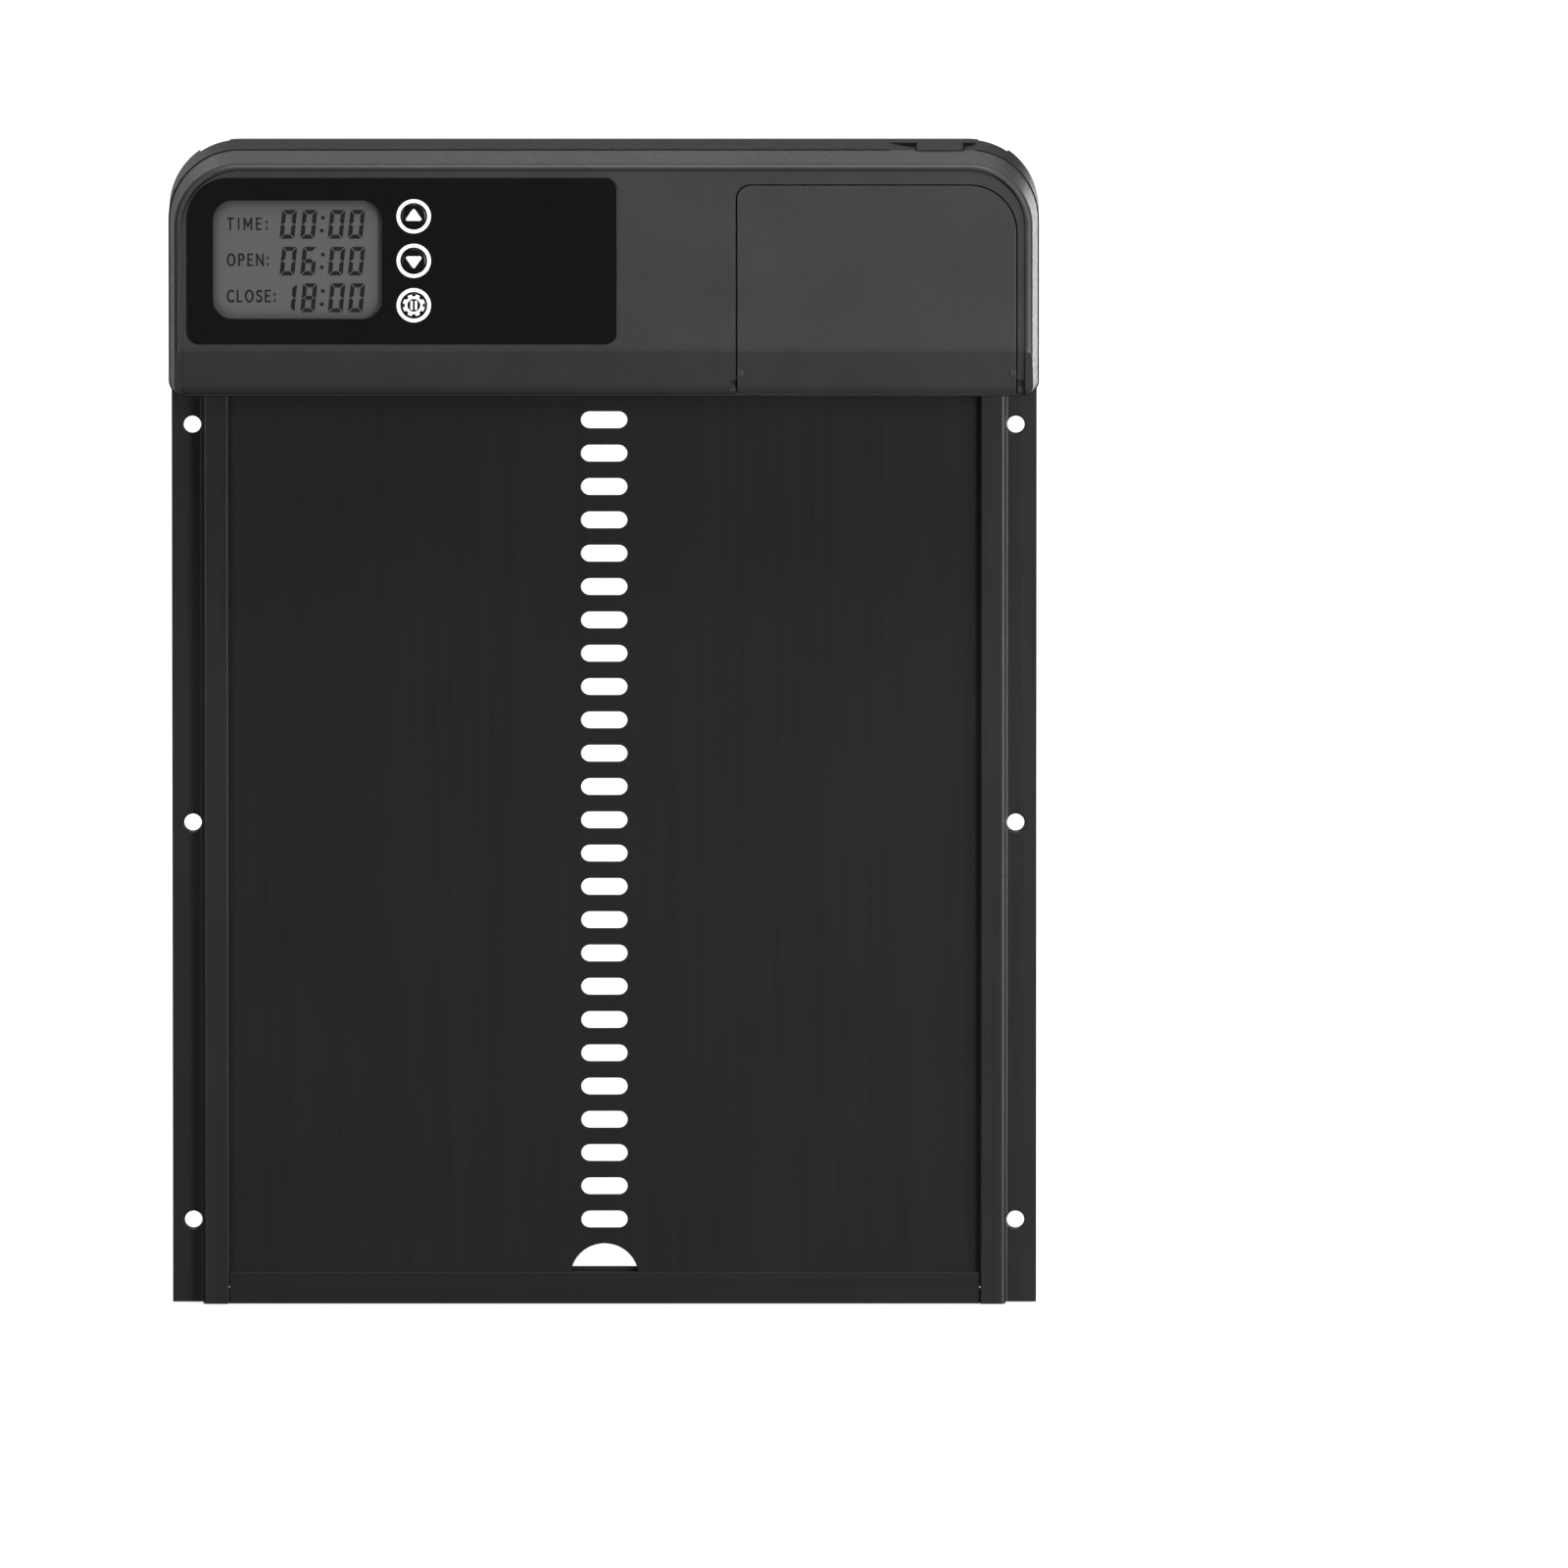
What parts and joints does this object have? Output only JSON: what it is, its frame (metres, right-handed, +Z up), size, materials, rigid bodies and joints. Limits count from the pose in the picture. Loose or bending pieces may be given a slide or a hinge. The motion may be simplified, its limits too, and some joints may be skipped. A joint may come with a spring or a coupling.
{
  "type": "automatic coop door",
  "caption": "Wall-mounted automatic coop door: a slotted sliding door in a flanged frame, lifted by a geared motor in a head with a clock display, buttons and a battery cover.",
  "frame": {"origin": "centre of the six-screw mounting pattern, in the wall plane", "axes": "+Z up along the door's travel, +X to the viewer's right, +Y into the wall; the front faces -Y"},
  "size_m": [0.24, 0.045, 0.3252],
  "materials": {
    "left_rail": "black anodised, satin",
    "right_rail": "black anodised, satin",
    "sill": "black anodised, satin",
    "sill_screws": "zinc plated",
    "door_panel": "black anodised, satin",
    "rear_housing": "fine moulded texture",
    "front_housing": "fine moulded texture",
    "housing_gasket": "smooth silicone",
    "clamp_screws": "zinc plated",
    "housing_screws": "zinc plated",
    "control_panel": "gloss",
    "display_lens": "clear, smoke tinted",
    "lcd_glass": "display glass",
    "lcd_holder": "moulded",
    "lcd_connector": "elastomer strip",
    "main_pcb": "solder mask",
    "pcb_components": "moulded packages",
    "pcb_connectors": "moulded",
    "pcb_screws": "zinc plated",
    "tact_switches": "moulded",
    "up_button": "gloss",
    "down_button": "gloss",
    "set_button": "gloss",
    "up_plunger": "moulded",
    "down_plunger": "moulded",
    "set_plunger": "moulded",
    "gearbox_case": "moulded",
    "gearbox_cover": "moulded",
    "gearbox_screws": "zinc plated",
    "gear_axle": "ground",
    "first_gear": "sintered steel",
    "second_gear": "sintered steel",
    "third_gear": "sintered steel",
    "output_gear": "moulded acetal",
    "output_shaft": "ground",
    "drive_sprocket": "moulded acetal",
    "shaft_bushings": "sintered bronze",
    "motor_can": "zinc plated",
    "motor_endcap": "moulded",
    "motor_magnets": "ferrite",
    "motor_armature": "laminations and copper windings",
    "motor_pinion": "machined",
    "motor_leads": "wire insulation",
    "battery_tray": "moulded",
    "tray_screws": "zinc plated",
    "aa_cells": "printed sleeve",
    "battery_springs": "nickel plated",
    "battery_plates": "nickel plated",
    "battery_leads": "wire insulation",
    "battery_cover": "fine moulded texture",
    "power_socket": "moulded",
    "socket_plug": "matt rubber",
    "power_leads": "wire insulation"
  },
  "bodies": {
    "frame": {"left_rail": "left_rail", "right_rail": "right_rail", "sill": "sill", "sill_screws": "sill_screws", "rear_housing": "rear_housing", "front_housing": "front_housing", "housing_gasket": "housing_gasket", "clamp_screws": "clamp_screws", "housing_screws": "housing_screws", "control_panel": "control_panel", "display_lens": "display_lens", "lcd_glass": "lcd_glass", "lcd_holder": "lcd_holder", "lcd_connector": "lcd_connector", "main_pcb": "main_pcb", "pcb_components": "pcb_components", "pcb_connectors": "pcb_connectors", "pcb_screws": "pcb_screws", "tact_switches": "tact_switches", "gearbox_case": "gearbox_case", "gearbox_cover": "gearbox_cover", "gearbox_screws": "gearbox_screws", "gear_axle": "gear_axle", "shaft_bushings": "shaft_bushings", "motor_can": "motor_can", "motor_endcap": "motor_endcap", "motor_magnets": "motor_magnets", "motor_leads": "motor_leads", "battery_tray": "battery_tray", "tray_screws": "tray_screws", "aa_cells": "aa_cells", "battery_springs": "battery_springs", "battery_plates": "battery_plates", "battery_leads": "battery_leads", "power_socket": "power_socket", "power_leads": "power_leads"},
    "door": {"door_panel": "door_panel"},
    "battery_door": {"battery_cover": "battery_cover"},
    "plug": {"socket_plug": "socket_plug"},
    "up_key": {"up_button": "up_button", "up_plunger": "up_plunger"},
    "down_key": {"down_button": "down_button", "down_plunger": "down_plunger"},
    "set_key": {"set_button": "set_button", "set_plunger": "set_plunger"},
    "output": {"output_shaft": "output_shaft", "output_gear": "output_gear", "drive_sprocket": "drive_sprocket"},
    "third_stage": {"third_gear": "third_gear"},
    "second_stage": {"second_gear": "second_gear"},
    "first_stage": {"first_gear": "first_gear"},
    "rotor": {"motor_armature": "motor_armature", "motor_pinion": "motor_pinion"}
  },
  "joints": [
    {"name": "door_slide", "type": "slide", "parent": "frame", "child": "door", "axis": [0, 0, 1], "range_m": [0, 0.236]},
    {"name": "output_spin", "type": "hinge", "parent": "frame", "child": "output", "pos_m": [0, -0.01489, 0.14975], "axis": [1, 0, 0], "range_deg": [0, 1143]},
    {"name": "third_stage_spin", "type": "hinge", "parent": "frame", "child": "third_stage", "pos_m": [0, -0.01489, 0.15935], "axis": [1, 0, 0], "range_deg": [-3427, 0]},
    {"name": "second_stage_spin", "type": "hinge", "parent": "frame", "child": "second_stage", "pos_m": [0, -0.01489, 0.14975], "axis": [1, 0, 0], "range_deg": [0, 10279]},
    {"name": "first_stage_spin", "type": "hinge", "parent": "frame", "child": "first_stage", "pos_m": [0, -0.01489, 0.15935], "axis": [1, 0, 0], "range_deg": [-30834, 0]},
    {"name": "rotor_spin", "type": "hinge", "parent": "frame", "child": "rotor", "pos_m": [0, -0.01489, 0.14975], "axis": [1, 0, 0], "range_deg": [0, 92498]},
    {"name": "battery_cover_slide", "type": "slide", "parent": "frame", "child": "battery_door", "axis": [0, 0, -1], "range_m": [0, 0.06]},
    {"name": "plug_pull", "type": "slide", "parent": "frame", "child": "plug", "axis": [0, 0, 1], "range_m": [0, 0.012]},
    {"name": "up_press", "type": "slide", "parent": "frame", "child": "up_key", "axis": [0, 1, 0], "range_m": [0, 0.0005], "stiffness_N_per_m": 400, "springref_m": -0.001},
    {"name": "down_press", "type": "slide", "parent": "frame", "child": "down_key", "axis": [0, 1, 0], "range_m": [0, 0.0005], "stiffness_N_per_m": 400, "springref_m": -0.001},
    {"name": "set_press", "type": "slide", "parent": "frame", "child": "set_key", "axis": [0, 1, 0], "range_m": [0, 0.0005], "stiffness_N_per_m": 400, "springref_m": -0.001}
  ],
  "couplings": [
    {"joint": "output_spin", "follows": "door_slide", "rad_per_m": 84.451},
    {"joint": "third_stage_spin", "follows": "door_slide", "rad_per_m": -253.35},
    {"joint": "second_stage_spin", "follows": "door_slide", "rad_per_m": 760.06},
    {"joint": "first_stage_spin", "follows": "door_slide", "rad_per_m": -2280.2},
    {"joint": "rotor_spin", "follows": "door_slide", "rad_per_m": 6840.6}
  ]
}
